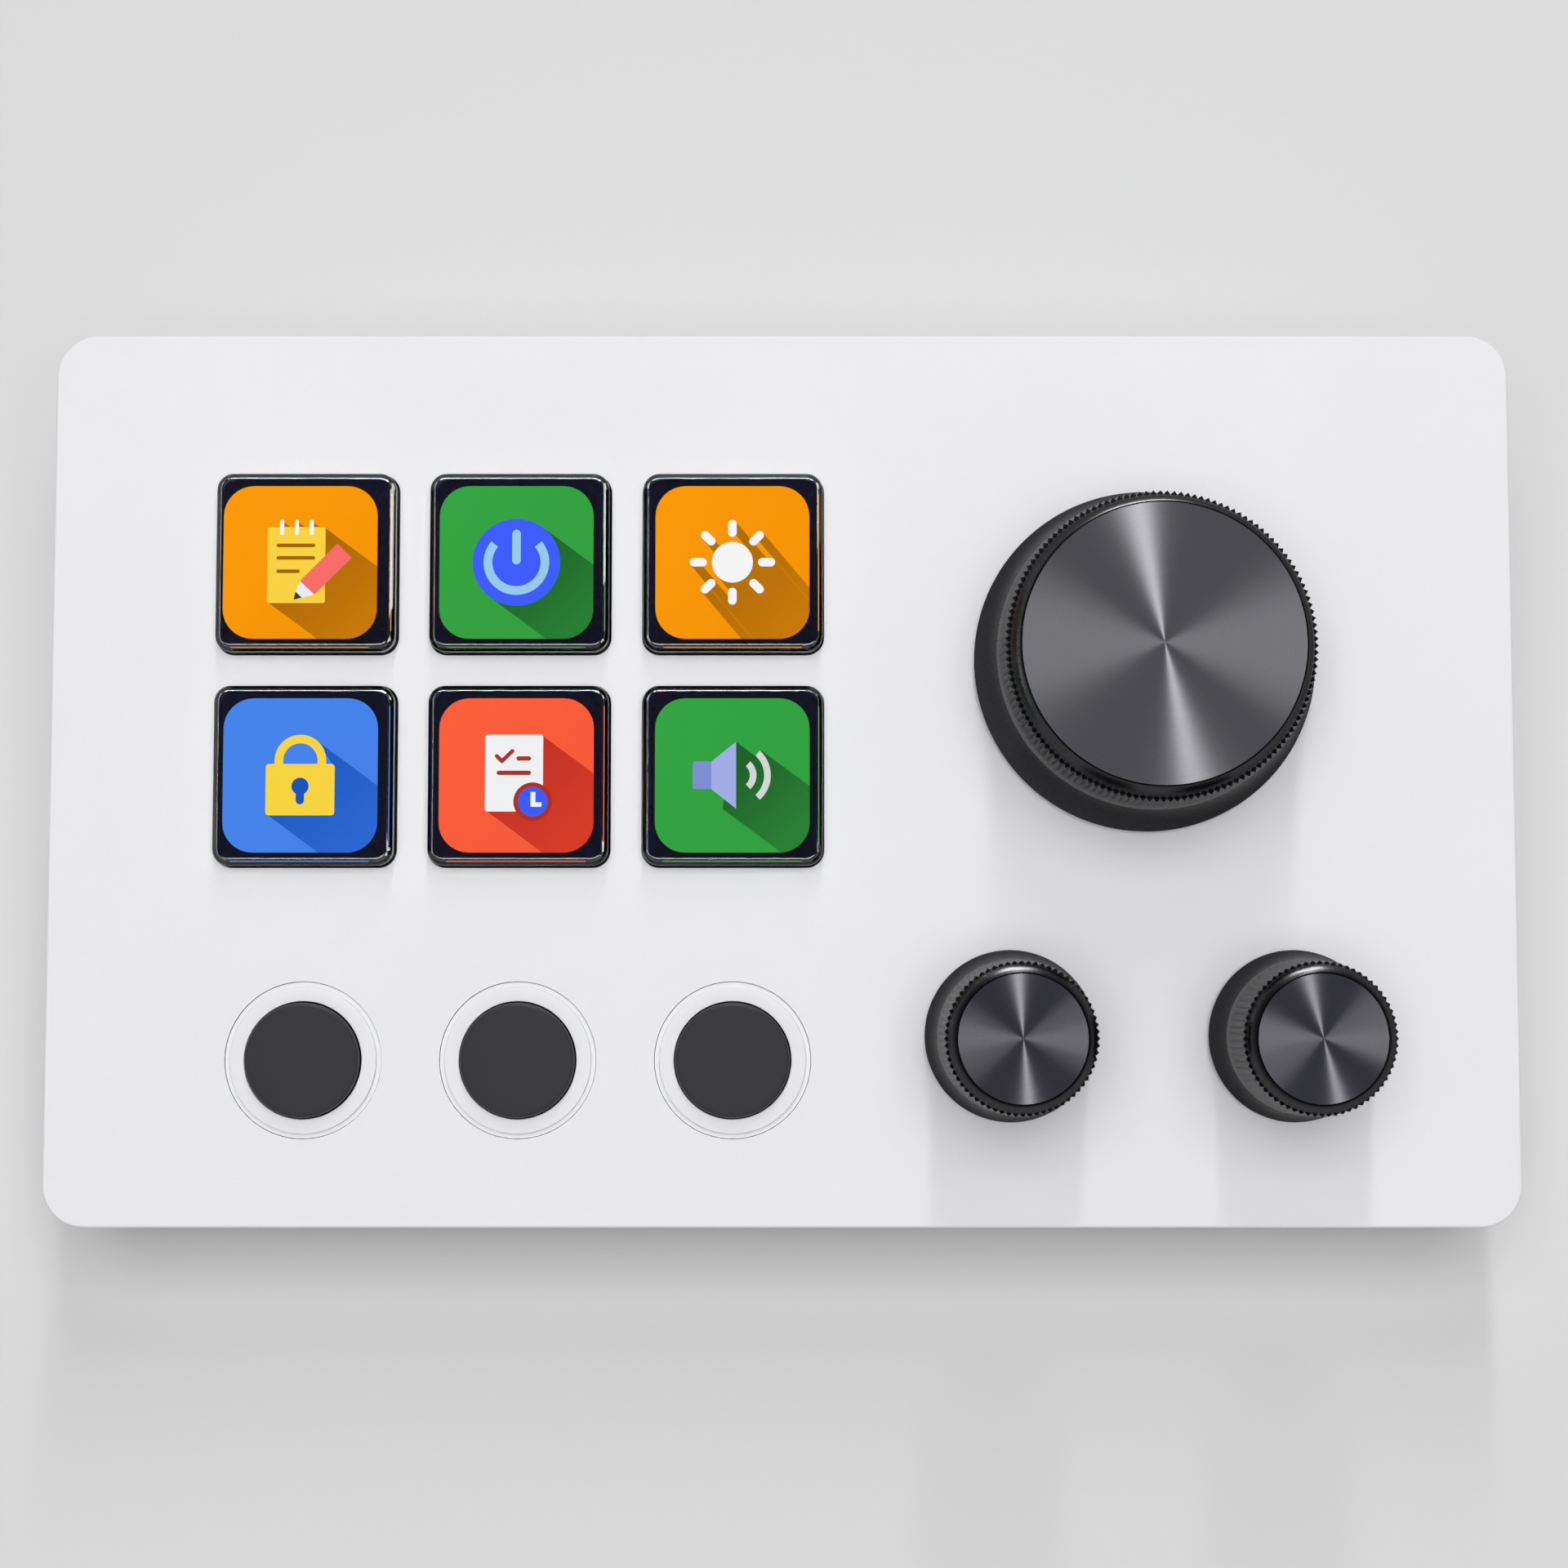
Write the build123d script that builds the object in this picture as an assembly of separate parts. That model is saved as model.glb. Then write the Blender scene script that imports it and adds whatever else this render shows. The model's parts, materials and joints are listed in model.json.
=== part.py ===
from build123d import *
import os
from math import cos, pi, radians, sin, tan

# Desk keypad: six display keys, three round buttons and three knobs on a tilted top plate.
# Sizes are millimetres. The row frame stands on the desk: X to the right, Y to the rear, Z up.
# "Deck" heights are measured along the top plate's own normal, with 0 at its upper face.

# ---- Case ----
plate_thickness = 2.0
plate_corner = 3.8
plate_edge_round = 0.25
deck_tilt = 12.0            # degrees, the rear edge is the higher one
wall_thickness = 2.0
floor_thickness = 2.0
seam_chamfer = 0.25
underside_round = 0.8
lip_thickness = 1.2         # rim under the plate that centres it in the housing
lip_height = 2.5
lip_gap = 0.15

# ---- Layout of the top plate: margins reach to its edges, gaps lie between neighbours ----
key_side_margin = 15.3      # left of the first column of keys
key_columns = 3
key_rows = 2
key_spacing = 3.1
key_knob_gap = 13.82        # last column of keys to the large knob's skirt
large_side_margin = 18.32   # right of the large knob's skirt
large_rear_margin = 14.82
key_button_gap = 10.93      # front row of keys to the buttons' surrounds
button_front_margin = 8.43
small_front_margin = 9.54
small_pitch = 25.68         # between the small knobs' axes
small_shift = 0.38          # their middle lies this far right of the large knob's axis

# ---- Case screws ----
pilot_gap = 0.02            # between a screw's core and its pilot hole
pilot_roof = 0.4            # plastic left over a case screw's pilot hole
case_screw_inset_x = 7.0    # from the plate's side edge
case_screw_inset_y = 7.0
case_screw_shank = 1.25     # core of the thread
case_screw_hole = 1.5
case_screw_head = 2.5
case_screw_head_height = 1.6
case_screw_length = 8.6
case_screw_seat = 13.0      # depth of the head's seat under the plate's upper face
boss_radius = 2.8
boss_end = 9.0              # depth where the plate's boss meets the housing's post
well_radius = 2.9
post_radius = 4.2
recess_width = 0.5          # arms of the cross recess in a screw's head
recess_depth = 0.7
recess_rim = 0.9            # left between the arms' ends and the head's edge

# ---- Feet ----
foot_radius = 5.0
foot_thickness = 2.0
foot_rise = 1.2             # how far a foot stands out of the floor
foot_gap = 0.1
foot_chamfer = 0.3
foot_inset_x = 20.0
foot_inset_y = 7.5

# ---- Board ----
board_top = 11.5            # depth of the board's upper face under the plate's
board_thickness = 1.6
board_corner = 2.0
board_side_gap = 0.8        # to the posts of the case screws
board_rim_gap = 1.55        # to the rim under the plate
board_post_radius = 2.5
board_post_inset = 3.5      # from the board's side edges
board_post_rim_gap = 1.85
board_post_frame_gap = 1.05 # between a post and the key frame
board_post_socket_gap = 5.0 # between a post and the USB socket
board_screw_shank = 1.0
board_screw_hole = 1.2
board_screw_head = 1.9
board_screw_head_height = 0.8
board_screw_length = 6.0
board_screw_floor_gap = 0.3
chip_width = 9.0
chip_height = 0.9

# ---- USB socket, on the board's rear edge ----
socket_x = 0.0
socket_width = 8.94
socket_height = 3.16
socket_length = 7.2
socket_wall = 0.3
socket_back = 1.0
socket_gap = 0.18
socket_inset = 0.1          # mouth behind the rear wall's face
tongue_width = 6.69
tongue_thickness = 0.7
tongue_corner = 0.15
tongue_inset = 1.0

# ---- Display keys ----
key_width = 16.4
key_corner = 1.5
key_rise = 2.3
key_round = 0.7
key_gap = 0.15
key_travel = 1.2
cap_wall = 0.6
cap_top = 0.8
cap_fit = 0.05
display_thickness = 1.2
flange_thickness = 1.4
flange_stop_gap = 0.1
guide_skirt_height = 2.0
guide_skirt_wall = 1.0
guide_gap = 0.15
guide_wall = 1.2            # outer walls of the key frame
lattice_wall = 1.6          # its walls between keys
stem_radius = 1.65

# ---- Switches under keys and buttons ----
switch_width = 6.2
switch_corner = 0.5
switch_height = 4.0
stem_gap = 0.1
stem_entry = 0.7
stem_end_gap = 0.9          # left under a stem that is pressed all the way

# ---- Round buttons ----
button_radius = 5.2
button_rise = 0.95
button_round = 0.35
button_gap = 0.13
button_travel = 0.6
button_flange = 0.9
button_flange_thickness = 0.8
surround_radius = 6.67
surround_rise = 0.12
surround_round = 0.08
groove_width = 0.47
groove_depth = 0.2
surround_fit = 0.06
surround_flange = 1.0
surround_flange_thickness = 0.8

# ---- Encoders ----
encoder_width = 11.8
encoder_corner = 0.6
encoder_base_height = 4.0
encoder_cover_height = 3.0
encoder_cover_wall = 0.7
encoder_floor = 0.8
bush_wall = 0.45
bush_top = 0.5              # above the plate's upper face
bush_gap = 0.3
shaft_radius = 3.0
shaft_fit = 0.05
shaft_flat = 1.5            # distance of the D flat from the axis
shaft_flat_low = 1.2
shaft_top = 10.8
shaft_collar_step = 1.0
shaft_collar_height = 0.8
drive_square = 3.4
drive_corner = 0.3
drive_gap = 0.06
rotor_radius = 4.8
rotor_fit = 0.05
rotor_height = 1.4
rotor_hub_radius = 3.2
rotor_hub_gap = 0.4         # left over the hub when the knob is pressed
end_gap = 0.1
press_travel = 0.5

# ---- Knobs ----
knob_clearance = 0.8        # under the skirt, above the plate
knob_fit = 0.03
knob_hub_low = 1.6
ring_lip = 0.02             # how far the top ring stands inside the roots of the teeth
disc_thickness = 0.5
disc_fit = 0.05
rim_land = 0.12             # flat edge between the disc's seat and the ring's chamfer
ring_draft = 0.04           # the ring's plain band narrows by this up to its line
ring_line_width = 0.12
ring_line_depth = 0.12
knob_roof = 2.0             # material under the disc
skirt_round = 0.3
skirt_flare = 0.36          # how hollow the skirt's side is: 0.5 would be a plain cone

large_top = 14.8
large_base_radius = 15.58
large_skirt_spread = 1.63   # from the neck to the skirt's foot
large_neck_height = 7.8
large_neck_step = 0.2       # the teeth stand this far inside the neck
large_grip_taper = 0.3
large_ring_height = 1.7
large_ring_chamfer = 0.57
large_teeth = 140
large_tooth_depth = 0.36
large_hub_wall = 2.2
large_wall = 1.5
large_rib_count = 6
large_rib_width = 1.0
large_rib_height = 5.0

small_top = 15.0
small_base_radius = 7.76
small_skirt_spread = 0.86
small_neck_height = 5.9
small_neck_step = 0.15
small_grip_taper = 0.13
small_ring_height = 1.2
small_ring_chamfer = 0.61
small_teeth = 68
small_tooth_depth = 0.24
small_hub_wall = 1.0
small_wall = 1.1

# ---- Worked out from the sizes above ----
tilt = radians(deck_tilt)
rim_reach = wall_thickness + lip_gap + lip_thickness
key_pitch = key_width + key_spacing
flange_overhang = (key_spacing - lattice_wall) / 2 - guide_gap
frame_reach = flange_overhang + guide_gap + guide_wall
key_rear_margin = rim_reach + board_post_rim_gap + 2 * board_post_radius + board_post_frame_gap + frame_reach
keys_wide = (key_columns - 1) * key_pitch + key_width
keys_deep = (key_rows - 1) * key_pitch + key_width
plate_width = key_side_margin + keys_wide + key_knob_gap + 2 * large_base_radius + large_side_margin
plate_depth = key_rear_margin + keys_deep + key_button_gap + 2 * surround_radius + button_front_margin
half_width = plate_width / 2
half_depth = plate_depth / 2

first_key_x = -half_width + key_side_margin + key_width / 2
first_key_y = half_depth - key_rear_margin - key_width / 2
key_places = [
    (first_key_x + column * key_pitch, first_key_y - row * key_pitch)
    for row in range(key_rows) for column in range(key_columns)
]
key_field_x = -half_width + key_side_margin + keys_wide / 2
key_field_y = half_depth - key_rear_margin - keys_deep / 2
button_y = -half_depth + button_front_margin + surround_radius
button_places = [(x, button_y) for x, _ in key_places[:key_columns]]
large_x = half_width - large_side_margin - large_base_radius
large_y = half_depth - large_rear_margin - large_base_radius
small_y = -half_depth + small_front_margin + small_base_radius
left_x = large_x + small_shift - small_pitch / 2
right_x = large_x + small_shift + small_pitch / 2
knob_places = {"large": (large_x, large_y), "left": (left_x, small_y), "right": (right_x, small_y)}

case_screw_x = half_width - case_screw_inset_x
case_screw_y = half_depth - case_screw_inset_y
case_screw_places = [(x, y) for x in (-case_screw_x, case_screw_x) for y in (-case_screw_y, case_screw_y)]
board_width = 2 * (case_screw_x - post_radius - board_side_gap)
board_depth = 2 * (half_depth - rim_reach - board_rim_gap)
board_post_x = board_width / 2 - board_post_inset
board_post_y = half_depth - rim_reach - board_post_rim_gap - board_post_radius
middle_post_x = (key_places[-1][0] + left_x) / 2
front_post_x = first_key_x + key_pitch / 2
socket_post_x = socket_x + socket_width / 2 + board_post_socket_gap + board_post_radius
board_post_places = [(x, board_post_y) for x in (-board_post_x, socket_post_x, board_post_x)]
board_post_places += [(x, -board_post_y) for x in (front_post_x, middle_post_x, board_post_x)]
board_under = board_top + board_thickness

front_screw_reach = half_depth - board_post_y - board_screw_head
floor_depth = board_under + board_screw_head_height + board_screw_floor_gap
front_height = floor_depth + floor_thickness / cos(tilt) - front_screw_reach * tan(tilt)
rear_height = front_height + plate_depth * tan(tilt)
deck_rise = foot_rise + half_depth * sin(tilt) + front_height * cos(tilt)
deck_shift = -rear_height * sin(tilt) / 2
deck = Pos(0, deck_shift, deck_rise) * Rot(deck_tilt, 0, 0)
deep = rear_height + plate_depth   # reaches below the case from anywhere on the deck

large_neck_radius = large_base_radius - large_skirt_spread
large_grip_low_radius = large_neck_radius - large_neck_step
large_grip_top_radius = large_grip_low_radius - large_grip_taper
large_ring_radius = large_grip_top_radius - large_tooth_depth - ring_lip
large_disc_radius = large_ring_radius - large_ring_chamfer - rim_land - disc_fit
large_grip_top = large_top - large_ring_height
small_neck_radius = small_base_radius - small_skirt_spread
small_grip_low_radius = small_neck_radius - small_neck_step
small_grip_top_radius = small_grip_low_radius - small_grip_taper
small_ring_radius = small_grip_top_radius - small_tooth_depth - ring_lip
small_disc_radius = small_ring_radius - small_ring_chamfer - rim_land - disc_fit
small_grip_top = small_top - small_ring_height
bore_radius = shaft_radius + knob_fit
bush_radius = shaft_radius + shaft_fit + bush_wall

socket_y = half_depth - socket_inset - socket_length / 2
socket_z = -board_top + socket_height / 2
switch_top = -board_top + switch_height
switch_well = stem_entry + max(key_travel, button_travel) + stem_end_gap
flange_width = key_width + 2 * flange_overhang
flange_top = -plate_thickness - flange_stop_gap
surround_under = -plate_thickness - surround_flange_thickness


# ---- Shared shapes ----
def block(width, depth, corner, low, high):
    """A prism with rounded upright edges, between two heights."""
    return Pos(0, 0, low) * extrude(RectangleRounded(width, depth, corner), high - low)


def rod(radius, low, high):
    """A round bar along Z, between two heights."""
    return Pos(0, 0, low) * extrude(Circle(radius), high - low)


def pattern(shape, places):
    """Copies of a shape at several places on the deck."""
    return [Pos(x, y) * shape for x, y in places]


def top_edges(shape):
    return shape.faces().sort_by(Axis.Z)[-1].edges()


def pan_screw(shank, length, head, head_height):
    """A screw that points up: the underside of its head's seat is at 0."""
    screw = rod(shank, 0, length) + rod(head, -head_height, 0)
    arm = 2 * (head - recess_rim)
    cross = Box(arm, recess_width, 2 * recess_depth) + Box(recess_width, arm, 2 * recess_depth)
    return screw - Pos(0, 0, -head_height) * cross


# ---- Case ----
def make_top_plate():
    plate = block(plate_width, plate_depth, plate_corner, -plate_thickness, 0)
    plate = fillet(top_edges(plate), plate_edge_round)
    rim_width = plate_width - 2 * (wall_thickness + lip_gap)
    rim_depth = plate_depth - 2 * (wall_thickness + lip_gap)
    rim_corner = plate_corner - wall_thickness
    rim = block(rim_width, rim_depth, rim_corner, -plate_thickness - lip_height, -plate_thickness)
    rim -= block(rim_width - 2 * lip_thickness, rim_depth - 2 * lip_thickness, rim_corner / 2,
                 -plate_thickness - lip_height, -plate_thickness)
    plate += rim
    plate += pattern(rod(boss_radius, -boss_end, -plate_thickness), case_screw_places)
    plate += pattern(rod(board_post_radius, -board_top, -plate_thickness), board_post_places)
    case_pilot = rod(case_screw_shank + pilot_gap, -boss_end, -plate_thickness - pilot_roof)
    plate -= pattern(case_pilot, case_screw_places)
    board_pilot = rod(board_screw_shank + pilot_gap, -board_top, -board_top + board_screw_length)
    plate -= pattern(board_pilot, board_post_places)
    key_hole = block(key_width + 2 * key_gap, key_width + 2 * key_gap, key_corner + key_gap,
                     -plate_thickness, 0)
    plate -= pattern(key_hole, key_places)
    plate -= pattern(rod(surround_radius + groove_width, -plate_thickness, 0), button_places)
    plate -= pattern(rod(bush_radius + bush_gap, -plate_thickness, 0), knob_places.values())
    return deck * plate


def make_lower_housing():
    outside = block(plate_width, plate_depth, plate_corner, -deep, -plate_thickness)
    outside = deck * chamfer(top_edges(outside), seam_chamfer)
    outside = split(outside, Plane.XY.offset(foot_rise), keep=Keep.TOP)
    outside = fillet(outside.faces().sort_by(Axis.Z)[0].edges(), underside_round)
    hollow = deck * block(plate_width - 2 * wall_thickness, plate_depth - 2 * wall_thickness,
                          plate_corner - wall_thickness, -deep, -plate_thickness + 1)
    hollow = split(hollow, Plane.XY.offset(foot_rise + floor_thickness), keep=Keep.TOP)
    housing = outside - hollow
    for x, y in case_screw_places:
        housing += (deck * Pos(x, y) * rod(post_radius, -deep, -boss_end)) & outside
    for x, y in case_screw_places:
        housing -= deck * Pos(x, y) * rod(well_radius, -deep, -case_screw_seat)
        housing -= deck * Pos(x, y) * rod(case_screw_hole, -deep, -boss_end)
    mouth = SlotOverall(socket_width + 2 * socket_gap, socket_height + 2 * socket_gap)
    mouth = extrude(mouth, 2 * wall_thickness, both=True)
    housing -= deck * Pos(socket_x, half_depth, socket_z) * Rot(90, 0, 0) * mouth
    for x, y in foot_places():
        housing -= Pos(x, y) * rod(foot_radius + foot_gap, 0, foot_thickness)
    return housing


def foot_places():
    """Feet stand square on the desk, inset from the underside's edges."""
    front = -half_depth * cos(tilt) + front_height * sin(tilt) + deck_shift + foot_inset_y
    rear = half_depth * cos(tilt) + rear_height * sin(tilt) + deck_shift - foot_inset_y
    side = half_width - foot_inset_x
    return [(-side, front), (side, front), (-side, rear), (side, rear)]


def make_foot(x, y):
    foot = rod(foot_radius, 0, foot_thickness)
    return Pos(x, y) * chamfer(foot.faces().sort_by(Axis.Z)[0].edges(), foot_chamfer)


def make_case_screws():
    screw = Pos(0, 0, -case_screw_seat) * pan_screw(case_screw_shank, case_screw_length, case_screw_head,
                                                  case_screw_head_height)
    return Compound(children=[deck * one for one in pattern(screw, case_screw_places)])


# ---- Board and what stands on it ----
def make_board():
    board = block(board_width, board_depth, board_corner, -board_under, -board_top)
    board -= pattern(rod(board_screw_hole, -board_under, -board_top), board_post_places)
    return deck * board


def make_board_screws():
    screw = Pos(0, 0, -board_under) * pan_screw(board_screw_shank, board_screw_length, board_screw_head,
                                              board_screw_head_height)
    return Compound(children=[deck * one for one in pattern(screw, board_post_places)])


def make_chip():
    chip = Box(chip_width, chip_width, chip_height)
    return deck * Pos(key_field_x, key_field_y, -board_under - chip_height / 2) * chip


def slot_bar(width, height, low, high):
    """A bar with fully round sides. It is drawn standing up, like the socket that it belongs to."""
    return Pos(0, 0, low) * extrude(SlotOverall(width, height), high - low)


def make_socket():
    """A stamped shell with a closed back. It is drawn with its mouth up, then laid towards the rear."""
    half = socket_length / 2
    shell = slot_bar(socket_width, socket_height, -half, half)
    inner_height = socket_height - 2 * socket_wall
    shell -= slot_bar(socket_width - 2 * socket_wall, inner_height, -half + socket_back, half)
    return deck * Pos(socket_x, socket_y, socket_z) * Rot(-90, 0, 0) * shell


def make_tongue():
    half = socket_length / 2
    tongue = block(tongue_width, tongue_thickness, tongue_corner, -half + socket_back, half - tongue_inset)
    return deck * Pos(socket_x, socket_y, socket_z) * Rot(-90, 0, 0) * tongue


def make_switch():
    """The fixed housing of a push switch, with the well that its stem goes down."""
    body = block(switch_width, switch_width, switch_corner, -board_top, switch_top)
    return body - rod(stem_radius + stem_gap, switch_top - switch_well, switch_top)


# ---- Display keys ----
def make_key_frame():
    """The lattice that guides the keys. It is held between the plate and the board."""
    frame = block(keys_wide + 2 * frame_reach, keys_deep + 2 * frame_reach, key_corner,
                  -board_top, -plate_thickness)
    cell = flange_width + 2 * guide_gap
    cell = block(cell, cell, key_corner, -board_top, -plate_thickness)
    return deck * (Pos(key_field_x, key_field_y) * frame - pattern(cell, key_places))


def make_key_cap():
    cap = block(key_width, key_width, key_corner, flange_top, key_rise)
    cap = fillet(top_edges(cap), key_round)
    inner = key_width - 2 * cap_wall
    return cap - block(inner, inner, key_corner - cap_wall, flange_top, key_rise - cap_top)


def make_key_display():
    width = key_width - 2 * (cap_wall + cap_fit)
    high = key_rise - cap_top
    return block(width, width, key_corner - cap_wall, high - display_thickness, high)


def make_key_carrier():
    width = key_width - 2 * (cap_wall + cap_fit)
    seat = key_rise - cap_top - display_thickness
    under = flange_top - flange_thickness
    skirt_under = under - guide_skirt_height
    skirt_inner = flange_width - 2 * guide_skirt_wall
    carrier = block(width, width, key_corner - cap_wall, under, seat)
    carrier += block(flange_width, flange_width, key_corner, skirt_under, flange_top)
    carrier -= block(skirt_inner, skirt_inner, key_corner / 2, skirt_under, under)
    return carrier + rod(stem_radius, switch_top - stem_entry, under)


# ---- Round buttons ----
def make_surround():
    """A collar let into the plate from below. Its shoulder is the floor of the groove round it."""
    bore = button_radius + button_gap
    shoulder = surround_radius + groove_width - surround_fit
    collar = rod(surround_radius, -groove_depth, surround_rise)
    collar = fillet(top_edges(collar), surround_round)
    collar += rod(shoulder, -plate_thickness, -groove_depth)
    collar += rod(shoulder + surround_flange, surround_under, -plate_thickness)
    return collar - rod(bore, surround_under, surround_rise)


def make_button():
    flange_high = surround_under - flange_stop_gap
    flange_low = flange_high - button_flange_thickness
    button = rod(button_radius, flange_low, button_rise)
    button = fillet(top_edges(button), button_round)
    button += rod(button_radius + button_flange, flange_low, flange_high)
    return button + rod(stem_radius, switch_top - stem_entry, flange_low)


# ---- Encoders ----
cover_low = -board_top + encoder_base_height
cover_high = cover_low + encoder_cover_height
cavity_floor = -board_top + encoder_floor
cavity_roof = cover_high - encoder_cover_wall
cavity_radius = rotor_radius + rotor_fit
collar_high = cavity_roof - end_gap
collar_low = collar_high - shaft_collar_height


def make_encoder_base():
    base = block(encoder_width, encoder_width, encoder_corner, -board_top, cover_low)
    return base - rod(cavity_radius, cavity_floor, cover_low)


def make_encoder_cover():
    cover = block(encoder_width, encoder_width, encoder_corner, cover_low, cover_high)
    cover += rod(bush_radius, cover_high, bush_top)
    cover -= rod(cavity_radius, cover_low, cavity_roof)
    return cover - rod(shaft_radius + shaft_fit, cavity_roof, bush_top)


def make_encoder_rotor():
    low = cavity_floor + end_gap
    high = collar_low - press_travel - rotor_hub_gap
    rotor = rod(rotor_radius, low, low + rotor_height) + rod(rotor_hub_radius, low, high)
    bore = drive_square + 2 * drive_gap
    return rotor - block(bore, bore, drive_corner, low, high)


def d_bar(radius, flat, low, high):
    """A round bar with one flat, which faces the front."""
    bar = rod(radius, low, high)
    return bar - Pos(0, -flat - radius, (low + high) / 2) * Box(4 * radius, 2 * radius, high - low)


def make_encoder_shaft():
    tip = cavity_floor + press_travel + end_gap
    shaft = block(drive_square, drive_square, drive_corner, tip, collar_low)
    shaft += rod(shaft_radius + shaft_collar_step, collar_low, collar_high)
    shaft += rod(shaft_radius, collar_high, shaft_flat_low)
    return shaft + d_bar(shaft_radius, shaft_flat, shaft_flat_low, shaft_top)


# ---- Knobs ----
def toothed_band(teeth, depth, low, low_radius, high, high_radius):
    """The grip: straight V teeth round a slight cone, between two heights."""
    def outline(radius, height):
        corners = []
        for step in range(2 * teeth):
            reach = radius - (step % 2) * depth
            angle = pi * step / teeth
            corners.append((reach * cos(angle), reach * sin(angle)))
        return Pos(0, 0, height) * make_face(Polyline(*corners, close=True))

    return loft([outline(low_radius, low), outline(high_radius, high)], ruled=True)


def make_knob(base, neck, neck_height, grip_low, grip_top, grip_height, ring, top, disc,
              teeth, depth, hub, wall):
    """A hollow knob: flared skirt, toothed grip, chamfered top ring with a seat for the disc."""
    core = grip_low - 2 * depth
    seat = disc + disc_fit
    rim = seat + rim_land
    seat_height = top - disc_thickness
    roof = seat_height - knob_roof
    mouth = base - skirt_round - wall
    throat = grip_top - depth - wall
    skirt_middle = (neck_height + knob_clearance) / 2
    line = (grip_height + top) / 2
    shoulder = ring - ring_draft

    with BuildSketch(Plane.XZ) as half:
        with BuildLine():
            Polyline((0, seat_height), (seat, seat_height), (seat, top), (rim, top),
                     (shoulder, line + ring_line_width),
                     (shoulder - ring_line_depth, line + ring_line_width / 2),
                     (shoulder, line), (ring, grip_height),
                     (core, grip_height), (core, neck_height), (neck, neck_height))
            ThreePointArc((neck, neck_height), (neck + skirt_flare * (base - neck), skirt_middle),
                          (base, knob_clearance + skirt_round))
            Polyline((base, knob_clearance + skirt_round), (base - skirt_round, knob_clearance),
                     (mouth, knob_clearance), (throat, neck_height), (throat, roof), (hub, roof),
                     (hub, knob_hub_low), (0, knob_hub_low), (0, seat_height))
        make_face()
    knob = revolve(half.sketch, Axis.Z)
    knob += toothed_band(teeth, depth, neck_height, grip_low, grip_height, grip_top)
    return knob - d_bar(bore_radius, shaft_flat + knob_fit, knob_hub_low, shaft_top + end_gap)


def make_large_knob():
    """The large knob is moulded with ribs between its hub and its grip."""
    knob = make_knob(large_base_radius, large_neck_radius, large_neck_height, large_grip_low_radius,
                     large_grip_top_radius, large_grip_top, large_ring_radius, large_top, large_disc_radius,
                     large_teeth, large_tooth_depth, bore_radius + large_hub_wall, large_wall)
    rib_low = large_top - disc_thickness - knob_roof - large_rib_height
    rib_end = large_grip_top_radius - large_tooth_depth - large_wall / 2
    rib_length = rib_end - bore_radius - large_hub_wall / 2
    rib = Pos(rib_end - rib_length / 2, 0, rib_low + large_rib_height / 2) * Box(rib_length, large_rib_width,
                                                                         large_rib_height)
    return knob + [Rot(0, 0, step * 360 / large_rib_count) * rib for step in range(large_rib_count)]


def make_small_knob():
    return make_knob(small_base_radius, small_neck_radius, small_neck_height, small_grip_low_radius,
                     small_grip_top_radius, small_grip_top, small_ring_radius, small_top, small_disc_radius,
                     small_teeth, small_tooth_depth, bore_radius + small_hub_wall, small_wall)


def make_disc(radius, top):
    return rod(radius, top - disc_thickness, top)


# ---- Assembly: one STEP file for each piece ----
pieces = {
    "top_plate": make_top_plate(),
    "lower_housing": make_lower_housing(),
    "case_screws": make_case_screws(),
    "main_board": make_board(),
    "board_screws": make_board_screws(),
    "controller_chip": make_chip(),
    "usb_socket": make_socket(),
    "usb_tongue": make_tongue(),
    "key_frame": make_key_frame(),
    "key_switches": Compound(children=[deck * one for one in pattern(make_switch(), key_places)]),
}
for name, (x, y) in zip(("front_left", "front_right", "rear_left", "rear_right"), foot_places()):
    pieces[f"foot_{name}"] = make_foot(x, y)

for number, (x, y) in enumerate(key_places, start=1):
    pieces[f"key_cap_{number}"] = deck * Pos(x, y) * make_key_cap()
    pieces[f"key_display_{number}"] = deck * Pos(x, y) * make_key_display()
    pieces[f"key_carrier_{number}"] = deck * Pos(x, y) * make_key_carrier()

for number, (x, y) in enumerate(button_places, start=1):
    pieces[f"button_cap_{number}"] = deck * Pos(x, y) * make_button()
    pieces[f"button_surround_{number}"] = deck * Pos(x, y) * make_surround()
    pieces[f"button_switch_{number}"] = deck * Pos(x, y) * make_switch()

for name, (x, y) in knob_places.items():
    large = name == "large"
    pieces[f"encoder_base_{name}"] = deck * Pos(x, y) * make_encoder_base()
    pieces[f"encoder_cover_{name}"] = deck * Pos(x, y) * make_encoder_cover()
    pieces[f"encoder_rotor_{name}"] = deck * Pos(x, y) * make_encoder_rotor()
    pieces[f"encoder_shaft_{name}"] = deck * Pos(x, y) * make_encoder_shaft()
    pieces[f"knob_body_{name}"] = deck * Pos(x, y) * (make_large_knob() if large else make_small_knob())
    disc = make_disc(large_disc_radius, large_top) if large else make_disc(small_disc_radius, small_top)
    pieces[f"knob_disc_{name}"] = deck * Pos(x, y) * disc

os.makedirs("parts", exist_ok=True)
for name, piece in pieces.items():
    export_step(piece, f"parts/{name}.step")
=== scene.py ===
import json
import math

import bmesh
import bpy
from mathutils import Matrix, Vector

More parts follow.
